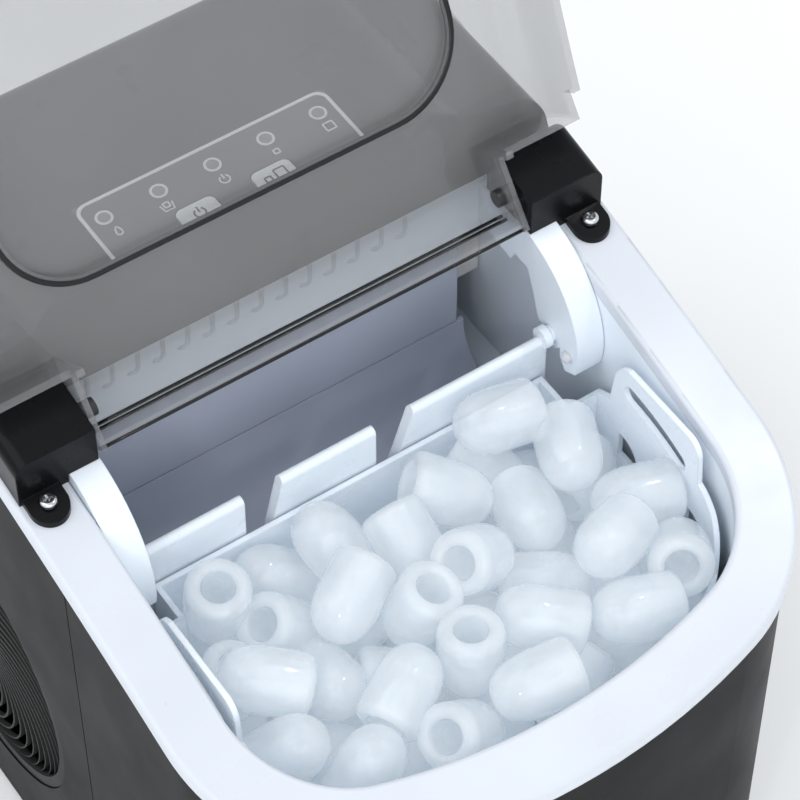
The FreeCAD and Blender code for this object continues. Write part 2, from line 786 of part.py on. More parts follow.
# ---- cooling circuit and electrics --------------------------------------------------------------
def condenser():
    fins = [box(-72, -50, 24.8, 111.2, z, z + 1.2) for z in range(34, 132, 7)]
    ends = [box(-72, -50, y, y + 1.6, 30, 134) for y in (24.0, 110.4)]
    pipes = [
        cylinder((x, 24, z), (0, 1, 0), 2.6, 88) for x in (-67.0, -55.0) for z in range(38, 131, 14)
    ]
    return joined([*ends, *pipes, *fins])


def fan_shroud():
    frame = box(-101, -78, 24, 110, 49, 135)
    frame = frame.cut(peg(-110, -70, FAN_Y, FAN_Z, FAN_RADIUS + 1.6))
    arms = [box(-81, -78, FAN_Y - 45 + 2, FAN_Y + 43, FAN_Z - 2.5, FAN_Z + 2.5)]
    arms.append(box(-81, -78, FAN_Y - 2.5, FAN_Y + 2.5, FAN_Z - 43, FAN_Z + 43))
    motor = peg(-84, -75.5, FAN_Y, FAN_Z, 14)
    return joined([frame, *arms, motor]).cut(peg(-90, -76.5, FAN_Y, FAN_Z, 2.0 + RUNNING_FIT))


def fan_rotor():
    hub = peg(-99, -85, FAN_Y, FAN_Z, 13)
    shaft = peg(-86, -78.5, FAN_Y, FAN_Z, 2.0)
    blades = []
    for i in range(7):
        blade = box(-1.0, 1.0, -6.5, 6.5, 11.0, FAN_RADIUS)
        blade.rotate(Vector(0, 0, 0), Vector(0, 0, 1), 42)
        blade.rotate(Vector(0, 0, 0), Vector(1, 0, 0), 360 * i / 7)
        blade.translate(Vector(-92.0, FAN_Y, FAN_Z))
        blades.append(blade)
    return joined([hub, shaft, *blades])


def compressor():
    x, y = 38.0, 78.0
    shell = post(x, y, 24, 104, 42)
    shell = shell.makeFillet(16, [e for e in shell.Edges if e.CenterOfMass.z > 103])
    plate = box(x - 44, x + 44, y - 44, y + 44, 15, 18)
    grommets = [post(x + a, y + b, 11, 15, 6) for a in (-38, 38) for b in (-38, 38)]
    skirt = post(x, y, 18, 24, 34)
    cap = box(x - 14, x + 14, y + 36, y + 50, 50, 80)
    return joined([shell, plate, skirt, cap, *grommets])


def suction_tube():
    route = [(24, 86, 104), (24, 86, 126), (24, 116, 126), (40, 116, 126), (40, 116, 228)]
    return tube([*route, (40, 71.2, 228)], 2.6, 6)


def discharge_tube():
    route = [(50, 66, 104), (50, 66, 126), (-40, 66, 126), (-40, 116, 126), (-40, 116, 228)]
    return tube([*route, (-40, 71.2, 228)], 2.6, 6)


def filter_drier():
    body = cylinder((-28, 30, 44), (0, 1, 0), 8, 56)
    return body.makeFillet(5, body.Edges[:1])


def water_pump():
    body = post(52, -64, 11, 46, 17)
    motor = post(52, -64, 46, 58, 12)
    spout = cylinder((52, -52, 26), (0, 1, 0), 4, 21)
    return joined([body, motor, spout])


def water_hose():
    route = [(52, -31, 26), (52, 26, 26), (-14, 26, 26), (-14, 120, 26), (-14, 120, 236)]
    return tube([*route, (-14, 84, 236)], 3.0, 9)


def power_board():
    board = box(52, 100, 119, 120.6, 130, 210)
    parts = [
        box(58, 78, 120.6, 132, 176, 200),
        box(82, 94, 120.6, 130, 150, 170),
        cylinder((66, 120.6, 150), (0, 1, 0), 8, 12),
    ]
    return joined([board, *parts])


def main():
    os.makedirs("parts", exist_ok=True)
    pieces = {
        "rim_surround": rim_surround,
        "inner_tank": inner_tank,
        "base_pan": base_pan,
        "feet": feet,
        "front_cover": front_cover,
        "right_side_panel": right_side_panel,
        "left_side_panel": left_side_panel,
        "vent_grille": vent_grille,
        "rear_panel": rear_panel,
        "rear_screws": rear_screws,
        "power_inlet": power_inlet,
        "drain_spout": drain_spout,
        "drain_plug": drain_plug,
        "top_cover": top_cover,
        "control_label": control_label,
        "indicator_lenses": indicator_lenses,
        "control_board": control_board,
        "lid": lid,
        "lid_hinge_pins": lid_hinge_pins,
        "hinge_screws": hinge_screws,
        "evaporator_shroud": evaporator_shroud,
        "water_tray": water_tray,
        "tray_gear_motor": tray_gear_motor,
        "tray_bearing": tray_bearing,
        "evaporator": evaporator,
        "drip_chute": drip_chute,
        "ice_shovel": ice_shovel,
        "basket": basket,
        "condenser": condenser,
        "fan_shroud": fan_shroud,
        "fan_rotor": fan_rotor,
        "compressor": compressor,
        "suction_tube": suction_tube,
        "discharge_tube": discharge_tube,
        "filter_drier": filter_drier,
        "water_pump": water_pump,
        "water_hose": water_hose,
        "power_board": power_board,
    }
    for name, make in pieces.items():
        save(name, make())
    mirrored_pair("hinge_block", hinge_block)
    mirrored_pair("cheek", cheek)
    save("button_on_off", button(-BUTTON_X))
    save("button_select", button(BUTTON_X))
    save("ir_emitter", ir_lamp(1))
    save("ir_receiver", ir_lamp(-1))


main()
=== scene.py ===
"""Finishes, ice, control marks and studio of a countertop ice maker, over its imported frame."""

import math

import bmesh
import bpy
import numpy as np
from bpy.props import FloatProperty, FloatVectorProperty, IntProperty, PointerProperty
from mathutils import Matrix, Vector


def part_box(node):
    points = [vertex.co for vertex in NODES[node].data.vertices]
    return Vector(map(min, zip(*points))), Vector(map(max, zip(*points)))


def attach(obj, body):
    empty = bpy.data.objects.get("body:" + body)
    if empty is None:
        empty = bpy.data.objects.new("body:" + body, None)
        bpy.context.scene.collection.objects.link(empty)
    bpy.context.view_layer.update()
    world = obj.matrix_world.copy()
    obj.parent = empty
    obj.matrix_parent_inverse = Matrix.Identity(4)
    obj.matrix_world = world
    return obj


bl_info = {
    "name": "Countertop Ice Maker",
    "version": (1, 0, 0),
    "blender": (4, 5, 0),
    "location": "3D View > Sidebar > Ice Maker",
    "description": "Finishes, ice and studio for a countertop ice maker",
    "category": "Object",
}

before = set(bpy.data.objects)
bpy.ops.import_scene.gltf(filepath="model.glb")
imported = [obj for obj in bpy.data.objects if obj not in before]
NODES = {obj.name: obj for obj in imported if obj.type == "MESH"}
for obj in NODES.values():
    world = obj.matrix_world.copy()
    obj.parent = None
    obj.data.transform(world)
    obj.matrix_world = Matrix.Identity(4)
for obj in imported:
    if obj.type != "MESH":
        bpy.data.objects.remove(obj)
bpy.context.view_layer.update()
MM = 0.001
WELD = 1e-7
NEARLY_ZERO = 1e-6
NOISE_RANGE = (0.3, 0.7)

# Skin of the finishes, in metres: heights of moulding ripples and texture grains, height and width
# of marks on metal, and how far the edges of moulded plastic are rounded.
RIPPLE_HEIGHT, GRAIN_HEIGHT = 0.000005, 0.00006
MARK_HEIGHT, MARK_WIDTH = 0.00001, 0.002
EDGE_ROUND = 0.0007

# Directions.
ALONG_X = np.array([1.0, 0.0, 0.0])
UPWARDS = (0, 0, 1)

# The lid, in millimetres: its hinge axis, then its slope when shut and its opening.
LID_AXIS = np.array([0.0, 22.0, 246.6])
LID_SLOPE = math.radians(11.6)
LID_OPEN = math.radians(128.0)

# The dome of the lid, in millimetres from the hinge axis: the outline of its foot, how far inside
# it the step's painted shade line lies at the sides and at the near edge, and the line's height and
# depth.
DOME_HALF, DOME_NEAR, DOME_FAR, DOME_CORNER = 84.0, 31.6, 150.0, 27.4
STEP_INSET, STEP_NEAR_INSET = 0.6, 0.5
STEP_HEIGHT, STEP_DEPTH = 15.9, 3.3

# The lid's rolled rear wall, in millimetres: its radius and the height of its middle, angles of its
# two upper lines of painted shade, place of the lowest line, half length and width of a line.
ROLL_RADIUS, ROLL_MIDDLE = 10.2, 4.6
ROLL_ANGLES = (60.0, 74.0)
ROLL_FOOT = (12.0, -4.3)
ROLL_HALF, ROLL_LINE = 79.6, 1.3

# Hooked ribs, in millimetres: depth in the band's face, top and foot of the stem, hook's radius,
# width and depth of a rib, pitch and shift of the row, the numbers of its first and last rib, and
# the ribs' brightness as a share of the liner's, darkened as painted shade of their grooves.
RIB_DEPTH, RIB_TOP, RIB_FOOT, RIB_HOOK = 1.2, 239.0, 231.6, 1.9
RIB_WIDTH, RIB_PROUD = 1.7, 1.5
RIB_PITCH, RIB_SHIFT = 9.2, 5.0
RIB_FIRST, RIB_LAST = -8, 5
RIB_SHADE = 0.72

# Printed lines, in millimetres: how far they sink in and stand out, the border's margins at its
# sides and front, its corner, the lamps' row, pitch and ring, and how bold a ring is.
INK_LOW, INK_HIGH = -0.02, 0.05
BORDER_SIDE, BORDER_FRONT, BORDER_CORNER = 0.7, 0.4, 4.0
LAMP_Y, LAMP_PITCH, LAMP_RING, LAMP_BOLD = 72.0, 20.0, 2.55, 1.6

# Inside of the basket from above, in metres: wall, height over which ice leans on the rake, the
# rake's face, bow of the front wall, round corners, and the notches beside the handles.
WALL = 0.0022
RAKE_FOOT, RAKE_FACE = 0.183, -0.0185
BOW_RADIUS, BOW_MIDDLE = 0.2297, 0.1137
CORNER_X, CORNER_Y, CORNER_RADIUS = 0.051, -0.0742, 0.035
NOTCH_X, NOTCH_Y = 0.0735, -0.0235

# Shape of one piece of ice: rounding of the bore's mouth and of the flat end, in metres, share of
# the length taken by the tip, bluntness of the tip across and along, width of the bore's foot as a
# share of the bore, and facets round the piece.
ICE_LIP, ICE_EDGE = 0.0016, 0.0032
ICE_NOSE, ICE_ACROSS, ICE_ALONG = 0.5, 0.82, 0.92
ICE_BORE_FOOT = 0.92
ICE_SIDES = 24

# Lower ice, in millimetres and degrees: columns, rows and layers, their stagger, scatter and tilt.
COLUMNS, ROWS = np.arange(-66, 67, 22.0), (-30.0, -53.0, -76.0, -98.0)
LAYERS = (159.0, 137.0, 121.0)
STAGGER, SCATTER, TILT = 6, 2, 50

# Easing the ice apart: steps, share of an overlap undone in one step, how readily the top pieces
# move, and how much smaller than a piece its balls are, in metres.
EASE_STEPS, EASE, TOP_GIVE, BALL_SLACK = 80, 0.45, 0.3, 0.0003

# Camera and lights, in metres, degrees and millimetres of lens.
CAMERA_PLACE = (-0.34254, -0.53869, 1.02609)
CAMERA_TURN, CAMERA_DIP, CAMERA_LENS = -34.16, 51.67, 146.28
AIM_POINT = (0, 0, 0.2)
SOFT_BOXES = (
    ("key_box", (-0.9, 0.3, 1.5), 1.4, "key"),
    ("fill_box", (-0.6, -1.5, 1.2), 1.3, "fill"),
    ("glint_left", (-0.9, -0.8, 1.1), 0.07, "glint"),
    ("glint_right", (0.55, -0.15, 1.2), 0.07, "glint"),
)
SKY = (0.93, 0.965, 1.0, 1)
FLOOR_HALF, FLOOR_LINES, FLOOR_DROP = 3, 25, 0.0002


# ---- sizes and colours a user may change --------------------------------------------------------
def colour(name, description, default):
    """A colour a user may change."""
    return FloatVectorProperty(
        name=name, description=description, default=default, size=3, min=0, max=1, subtype="COLOR"
    )


def length(name, description, default):
    """A size in metres a user may change."""
    return FloatProperty(name=name, description=description, default=default, min=0, unit="LENGTH")


def factor(name, description, default, top=1.0):
    """A share or strength a user may change."""
    return FloatProperty(
        name=name, description=description, default=default, min=0, max=top, subtype="FACTOR"
    )


class ShellLooks(bpy.types.PropertyGroup):
    """Colours of the moulded shell and the parts inside it."""

    rim: colour("Rim", "Satin white surround", (0.665, 0.70, 0.76))
    liner: colour("Liner", "White tank, basket and brackets", (0.84, 0.90, 0.965))
    body: colour("Body", "Textured black panels", (0.006, 0.006, 0.006))
    cover: colour("Top cover", "Smooth black cover under the lid", (0.035, 0.035, 0.036))
    # Painted shade: the tray and chute get a grey-blue far darker than the white liner, standing
    # for the shade deep in the freezing bay.
    tray: colour("Tray", "Grey-blue water tray and chute", (0.46, 0.49, 0.58))
    grain: length("Grain", "Width of one grain of the black texture", 0.0005)


class LidLooks(bpy.types.PropertyGroup):
    """The smoky clear lid."""

    # The smoke's grey is partly the plastic's own smoky tint and partly painted reflection of the
    # bright surroundings.
    smoke: colour("Smoke", "Colour of the clear plastic", (0.32, 0.32, 0.325))
    density: factor("Density", "How much one face of the lid hides", 0.35)
    # Painted shade: the dome's step is drawn as a dark band, standing for the step wall seen
    # edge-on through the smoky plastic.
    step_width: length("Step width", "Thickness of the dark line in the dome's step", 0.0022)


class LabelLooks(bpy.types.PropertyGroup):
    """Printed marks of the control panel."""

    ink: colour("Ink", "Pale printed lines", (0.95, 0.96, 0.97))
    key_ink: colour("Key ink", "Grey marks on the keys", (0.10, 0.105, 0.115))
    border: length("Border", "Width of the pale border line", 0.0013)
    stroke: length("Stroke", "Width of a symbol's line", 0.0006)


class IceLooks(bpy.types.PropertyGroup):
    """Bullet-shaped pieces of ice in the basket."""

    diameter: length("Diameter", "Width of one piece", 0.0218)
    size: length("Length", "Length of one piece", 0.0295)
    bore: length("Bore", "Width of the hole in the flat end", 0.0112)
    depth: length("Bore depth", "Depth of the hole", 0.018)
    frost: colour("Frost", "Colour of the ice", (0.71, 0.74, 0.77))
    # Painted light: the ice emits a pale blue glow of this colour and strength, standing for light
    # scattered through the heap.
    glow: colour("Glow", "Colour of the light that wanders through the heap", (0.80, 0.90, 1.0))
    scatter: factor("Scatter", "Strength of the light that wanders through the heap", 0.17)
    cloud: factor("Cloud", "How much one face of the ice hides", 0.5)
    layers: IntProperty(
        name="Layers", description="Layers under the top one", default=2, min=1, max=3
    )


class StudioLooks(bpy.types.PropertyGroup):
    """Floor and light."""

    floor: colour("Floor", "Pale floor", (0.97, 0.972, 0.975))
    sky: factor("Sky", "Brightness of the soft light all round", 0.86, 4.0)
    key: factor("Key", "Brightness of the large soft box", 6.5, 200.0)
    fill: factor("Fill", "Brightness of the side soft box", 9.0, 200.0)
    glint: factor("Glint", "Brightness of the small lamps that wet faces reflect", 1.4, 200.0)


# ---- meshes -------------------------------------------------------------------------------------
def surface(name, sheets, wrap_rows=False, wrap_columns=True, smooth=True):
    """Quads over grids of points.

    sheets has the shape (copies, rows, columns, 3). Point (i, j) joins (i + 1, j) and (i, j + 1);
    a wrapped direction joins its last line to its first. A row drawn together in one point is a
    pole, and its doubles are merged. Faces are then turned outwards.
    """
    copies, rows, columns = sheets.shape[:3]
    i = np.arange(rows if wrap_rows else rows - 1)[:, None]
    j = np.arange(columns if wrap_columns else columns - 1)[None, :]
    across, along = (j + 1) % columns, (i + 1) % rows
    quad = np.stack(
        [i * columns + j, i * columns + across, along * columns + across, along * columns + j], -1
    ).reshape(-1, 4)
    quads = (quad[None] + np.arange(copies)[:, None, None] * rows * columns).reshape(-1, 4)
    mesh = bpy.data.meshes.new(name)
    mesh.from_pydata(sheets.reshape(-1, 3).tolist(), [], quads.tolist())
    work = bmesh.new()
    work.from_mesh(mesh)
    bmesh.ops.remove_doubles(work, verts=work.verts, dist=WELD)
    if wrap_columns:
        bmesh.ops.recalc_face_normals(work, faces=work.faces)
    work.to_mesh(mesh)
    work.free()
    if smooth:
        mesh.shade_smooth()
    else:
        mesh.shade_flat()
    piece = bpy.data.objects.new(name, mesh)
    bpy.context.scene.collection.objects.link(piece)
    return piece


def carried(path, section, up, closed=False):
    """A section carried along a flat path.

    path is (n, 3), section is (m, 2) and up is the path's plane normal. A grid point is
    path + side * section_0 + up * section_1, where side is up crossed with the path's direction.
    An open path gets a first and a last row drawn together in the section's middle, as end caps.
    """
    if closed:
        direction = np.roll(path, -1, 0) - np.roll(path, 1, 0)
    else:
        direction = np.gradient(path, axis=0)
    direction /= np.linalg.norm(direction, axis=1, keepdims=True)
    up = np.asarray(up, float)
    side = np.cross(up, direction)
    grid = path[:, None] + side[:, None] * section[None, :, :1] + up * section[None, :, 1:]
    if closed:
        return grid
    middle = grid.mean(1, keepdims=True).repeat(section.shape[0], 1)
    return np.concatenate([middle[:1], grid, middle[-1:]])


def slab(width):
    """Rectangle of a printed line, width across and a little proud of its face."""
    half, low, high = width / 2, INK_LOW * MM, INK_HIGH * MM
    return np.array([(-half, low), (half, low), (half, high), (-half, high)])


def spaced(grid, places):
    """Copies of a grid, moved along X to each place."""
    return grid[None] + places[:, None, None, None] * ALONG_X


def oval(width, height, power=2.0, points=16):
    """Section x = a sgn(cos t) |cos t|^(2/p), y = b sgn(sin t) |sin t|^(2/p)."""
    t = np.arange(points) * 2 * math.pi / points
    x, y = np.cos(t), np.sin(t)
    bent = [np.sign(v) * np.abs(v) ** (2 / power) for v in (x, y)]
    return np.stack([bent[0] * width / 2, bent[1] * height / 2], 1)


def arc(centre, radius, start, end, steps=24):
    """Points centre + radius (cos t, sin t) for t from start to end, in degrees."""
    t = np.radians(np.linspace(start, end, steps))
    return np.stack([centre[0] + radius * np.cos(t), centre[1] + radius * np.sin(t)], 1)


def level(points, height):
    """Flat points lifted to one height."""
    return np.column_stack([points, np.full(len(points), height)])


def put(piece, body, material):
    """Gives a new piece its body and its finish."""
    piece.data.materials.clear()
    piece.data.materials.append(material)
    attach(piece, body)


# ---- finishes -----------------------------------------------------------------------------------
class Finish:
    """A material's node tree, with short calls that add its patterns."""

    def __init__(self, name, base, roughness, **sockets):
        self.material = bpy.data.materials.new(name)
        self.material.use_nodes = True
        self.nodes = self.material.node_tree.nodes
        self.links = self.material.node_tree.links
        self.shader = self.nodes["Principled BSDF"]
        self.base = base
        self.shader.inputs["Base Color"].default_value = (*base, 1)
        self.shader.inputs["Roughness"].default_value = roughness
        for socket, value in sockets.items():
            self.shader.inputs[socket.replace("_", " ")].default_value = value
        self.place = self.nodes.new("ShaderNodeTexCoord").outputs["Object"]

    def noise(self, width, detail=2.0, stretch=(1, 1, 1)):
        """Noise whose grains are about width metres across, drawn out by stretch."""
        mapping = self.nodes.new("ShaderNodeMapping")
        mapping.inputs["Scale"].default_value = [1 / s for s in stretch]
        noise = self.nodes.new("ShaderNodeTexNoise")
        noise.inputs["Scale"].default_value = 1 / width
        noise.inputs["Detail"].default_value = detail
        self.links.new(self.place, mapping.inputs["Vector"])
        self.links.new(mapping.outputs["Vector"], noise.inputs["Vector"])
        return noise.outputs["Fac"]

    def tone(self, pattern, dark, light=1.0):
        """Base colour that drifts between dark and light times itself."""
        mix = self.nodes.new("ShaderNodeMix")
        mix.data_type = "RGBA"
        mix.inputs["A"].default_value = (*[min(1, c * dark) for c in self.base], 1)
        mix.inputs["B"].default_value = (*[min(1, c * light) for c in self.base], 1)
        self.links.new(self.spread(pattern, 0.0, 1.0), mix.inputs["Factor"])
        self.links.new(mix.outputs["Result"], self.shader.inputs["Base Color"])
        return self

    def spread(self, pattern, low, high):
        """Pattern's middle range spread between low and high."""
        ranged = self.nodes.new("ShaderNodeMapRange")
        limits = (*NOISE_RANGE, low, high)
        for socket, value in zip(("From Min", "From Max", "To Min", "To Max"), limits):
            ranged.inputs[socket].default_value = value
        self.links.new(pattern, ranged.inputs["Value"])
        return ranged.outputs["Result"]

    def sheen(self, pattern, low, high):
        """Roughness that drifts between low and high."""
        self.links.new(self.spread(pattern, low, high), self.shader.inputs["Roughness"])
        return self

    def relief(self, pattern, depth, round_edges=0.0):
        """Bumps of the given depth in metres, over edges that shade as if rounded."""
        bump = self.nodes.new("ShaderNodeBump")
        if round_edges:
            bevel = self.nodes.new("ShaderNodeBevel")
            bevel.inputs["Radius"].default_value = round_edges
            self.links.new(bevel.outputs["Normal"], bump.inputs["Normal"])
        bump.inputs["Distance"].default_value = depth
        bump.inputs["Strength"].default_value = 1.0
        self.links.new(pattern, bump.inputs["Height"])
        self.links.new(bump.outputs["Normal"], self.shader.inputs["Normal"])
        return self


def satin(name, base, roughness, gloss=0.5):
    """Smooth moulded plastic: slow drifts of tone and gloss and a faint moulding ripple."""
    made = Finish(name, base, roughness, Specular_IOR_Level=gloss)
    slow = made.noise(0.045, 3.0)
    made.tone(slow, 0.965, 1.02).sheen(made.noise(0.02, 4.0), roughness * 0.85, roughness * 1.2)
    return made.relief(made.noise(0.004, 2.0), RIPPLE_HEIGHT, EDGE_ROUND).material


def textured(name, base, roughness, grain):
    """Spark-textured plastic: fine grains in height, tone and gloss."""
    made = Finish(name, base, roughness, Specular_IOR_Level=0.09)
    grains = made.noise(grain, 3.0)
    made.tone(grains, 0.72, 1.35).sheen(made.noise(0.03, 3.0), roughness * 0.92, roughness * 1.1)
    return made.relief(grains, GRAIN_HEIGHT).material


def metal(name, base, roughness, stretch=(1, 1, 1), metallic=1.0):
    """Drawn, plated or painted metal with marks along its working direction."""
    made = Finish(name, base, roughness, Metallic=metallic)
    marks = made.noise(MARK_WIDTH, 4.0, stretch)
    made.tone(marks, 0.85, 1.06).sheen(marks, roughness * 0.7, roughness * 1.4)
    return made.relief(marks, MARK_HEIGHT).material


def rubber(name, base, roughness):
    """Rubber or soft hose: mottled tone and a fine pitted skin."""
    made = Finish(name, base, roughness)
    made.tone(made.noise(0.004, 4.0), 0.85, 1.12)
    return made.relief(made.noise(0.0009, 2.0), 0.00004).material


def finish(material, *names):
    """Puts a material on carried-over nodes."""
    for name in names:
        slots = NODES[name].material_slots
        for entry in slots:
            entry.material = material
        if not slots:
            NODES[name].data.materials.append(material)


# ---- operators ----------------------------------------------------------------------------------
class ICEMAKER_OT_panels(bpy.types.Operator):
    """Finish the black panels, vent, base, feet and rear fittings"""

    bl_idname = "icemaker.panels"
    bl_label = "Black panels"

    def execute(self, context):
        looks = context.scene.icemaker_shell
        black = textured("black_texture", looks.body, 0.46, looks.grain)
        finish(black, "left_side_panel", "right_side_panel", "front_cover", "rear_panel")
        finish(textured("black_grille", (0.035,) * 3, 0.5, looks.grain), "vent_grille")
        finish(textured("black_base", (0.03,) * 3, 0.6, 0.0012), "base_pan", "drain_spout")
        finish(satin("black_socket", (0.02,) * 3, 0.4), "power_inlet")
        finish(rubber("rubber_black", (0.03,) * 3, 0.75), "feet")
        finish(rubber("rubber_grey", (0.55, 0.56, 0.57), 0.6), "drain_plug")
        finish(metal("black_screws", (0.05,) * 3, 0.35), "rear_screws")
        return {"FINISHED"}


class ICEMAKER_OT_rim(bpy.types.Operator):
    """Finish the satin white surround and the smooth black cover"""

    bl_idname = "icemaker.rim"
    bl_label = "Rim and cover"

    def execute(self, context):
        looks = context.scene.icemaker_shell
        finish(satin("rim_white", looks.rim, 0.3), "rim_surround")
        finish(satin("cover_black", looks.cover, 0.3, gloss=0.4), "top_cover")
        return {"FINISHED"}


class ICEMAKER_OT_liner(bpy.types.Operator):
    """Finish the white tank, basket, side brackets and shovel"""

    bl_idname = "icemaker.liner"
    bl_label = "White inside"

    def execute(self, context):
        looks = context.scene.icemaker_shell
        liner = satin("liner_white", looks.liner, 0.34)
        finish(liner, "inner_tank", "cheek_left", "cheek_right", "evaporator_shroud")
        soft = satin("basket_white", looks.liner, 0.28)
        finish(soft, "basket", "ice_shovel")
        return {"FINISHED"}


class ICEMAKER_OT_lid(bpy.types.Operator):
    """Finish the smoky lid and hinges and draw painted shade in the dome's step and the rolled rear
    wall
    """

    bl_idname = "icemaker.lid"
    bl_label = "Lid and hinges"

    def execute(self, context):
        looks = context.scene.icemaker_lid
        # Partly painted reflection: the grey of the smoke also stands for the white surroundings
        # the glossy lid reflects.
        smoke = Finish("smoky_clear", looks.smoke, 0.05, Alpha=looks.density, Coat_Weight=0.6)
        smoke.tone(smoke.noise(0.06, 3.0), 0.93, 1.05)
        smoke.relief(smoke.noise(0.03, 2.0), 0.00004)
        finish(smoke.material, "lid")
        finish(satin("pin_black", (0.02,) * 3, 0.35), "lid_hinge_pins")
        block = satin("hinge_black", (0.005, 0.005, 0.006), 0.26, gloss=0.14)
        finish(block, "hinge_block_left", "hinge_block_right")
        finish(metal("screw_steel", (0.72, 0.73, 0.75), 0.22), "hinge_screws")
        # Painted shade: a dark band in the dome's step, standing for the step wall seen edge-on
        # through the smoky plastic, and dark lines in the rolled rear wall.
        dark = Finish("step_shadow", (0.010, 0.010, 0.011), 0.16, Specular_IOR_Level=0.35)
        dark.tone(dark.noise(0.05, 2.0), 0.7, 1.6)
        edge = surface("lid_step_line", dome_step(looks.step_width)[None], wrap_rows=True)
        put(edge, "lid", dark.material)
        put(surface("lid_roll_lines", roll_lines()), "lid", dark.material)
        return {"FINISHED"}


def opened(points):
    """Turns points of the shut lid, in millimetres from the hinge axis, to the open lid, in metres.

    A point (x, y, z) goes to (x, y cos a + z sin a, z cos a - y sin a) and then out to the axis.
    """
    x, y, z = np.moveaxis(np.asarray(points, float), -1, 0)
    c, d = math.cos(LID_OPEN), math.sin(LID_OPEN)
    return (np.stack([x, y * c + z * d, z * c - y * d], -1) + LID_AXIS) * MM


def rounded_frame(half, near, far, corner, steps=16):
    """Corners of a rectangle rounded by quarter circles, as one closed line of (across, along)."""
    middle = [
        (half - corner, near + corner, -90),
        (half - corner, far - corner, 0),
        (-half + corner, far - corner, 90),
        (-half + corner, near + corner, 180),
    ]
    return np.concatenate([arc(m[:2], corner, m[2], m[2] + 90, steps) for m in middle])


def dome_step(width):
    """Closed band of painted shade inside the dome's step wall: a blunt oval carried round a
    rounded rectangle.
    """
    half, far = DOME_HALF - STEP_INSET, DOME_FAR - STEP_INSET
    line = rounded_frame(half, DOME_NEAR + STEP_NEAR_INSET, far, DOME_CORNER)
    slope = np.array([-math.cos(LID_SLOPE), -math.sin(LID_SLOPE)])
    rise = np.array([-math.sin(LID_SLOPE), math.cos(LID_SLOPE)])
    shut = np.column_stack([line[:, 0], line[:, 1:] * slope + STEP_HEIGHT * rise])
    out = opened((0, *rise)) - opened((0, 0, 0))
    section = oval(width, STEP_DEPTH * MM, power=4.0)
    return carried(opened(shut), section, out / MM, closed=True)


def roll_lines():
    """Dark lines of painted shade inside the rolled rear wall: small ovals carried along X at three
    places on it.

    A place at angle a on the roll is (r sin a, m + r cos a) behind and above the axis, for the
    roll's radius r and its middle's height m.
    """
    turn = np.radians(ROLL_ANGLES)
    roll = np.stack([ROLL_RADIUS * np.sin(turn), ROLL_MIDDLE + ROLL_RADIUS * np.cos(turn)], 1)
    places = np.concatenate([roll, [ROLL_FOOT]])
    across = np.linspace(-ROLL_HALF, ROLL_HALF, 9)
    shut = [np.column_stack([across, np.tile(place, (len(across), 1))]) for place in places]
    section = oval(ROLL_LINE * MM, ROLL_LINE * MM, points=8)
    return np.stack([carried(opened(line), section, UPWARDS) for line in shut])


class ICEMAKER_OT_freezer(bpy.types.Operator):
    """Finish the water tray, chute, freezing fingers and sensors and add the band's hooked ribs"""

    bl_idname = "icemaker.freezer"
    bl_label = "Freezing bay"

    def execute(self, context):
        looks = context.scene.icemaker_shell
        # Painted shade: the grey-blue on the tray and chute stands for the shade deep in the
        # freezing bay.
        finish(satin("tray_grey", looks.tray, 0.22), "water_tray", "drip_chute", "tray_bearing")
        finish(satin("motor_white", (0.7, 0.7, 0.68), 0.5), "tray_gear_motor")
        finish(metal("nickel", (0.66, 0.64, 0.6), 0.2), "evaporator")
        clear = Finish("sensor_clear", (0.85, 0.87, 0.9), 0.08, Alpha=0.6, Coat_Weight=0.5)
        clear.tone(clear.noise(0.002), 0.9, 1.05)
        finish(clear.material, "ir_emitter")
        dark = Finish("sensor_dark", (0.02, 0.018, 0.022), 0.12, Coat_Weight=0.5)
        dark.tone(dark.noise(0.002), 0.8, 1.2)
        finish(dark.material, "ir_receiver")
        ribs = surface("band_ribs", band_hooks())
        # Painted shade: the ribs take the liner's white darkened by RIB_SHADE, standing for the
        # shade in their grooves.
        shaded = [RIB_SHADE * c for c in looks.liner]
        put(ribs, "housing", satin("rib_white", shaded, 0.3))
        return {"FINISHED"}


def band_hooks():
    """Hooked ribs on the white band: an oval carried down a straight stem and round a hook."""
    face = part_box("evaporator_shroud")[0].y + RIB_DEPTH * MM
    stem = np.linspace((0.0, RIB_TOP), (0.0, RIB_FOOT), 10)[:-1]
    turn = arc((-RIB_HOOK, RIB_FOOT), RIB_HOOK, 0, -150, 14)
    hook = np.concatenate([stem, turn]) * MM
    path = np.column_stack([hook[:, 0], np.full(len(hook), face), hook[:, 1]])
    one = carried(path, oval(RIB_WIDTH * MM, RIB_PROUD * MM), (0, -1, 0))
    places = np.arange(RIB_FIRST, RIB_LAST + 1) * RIB_PITCH * MM + RIB_SHIFT * MM
    return spaced(one, places)


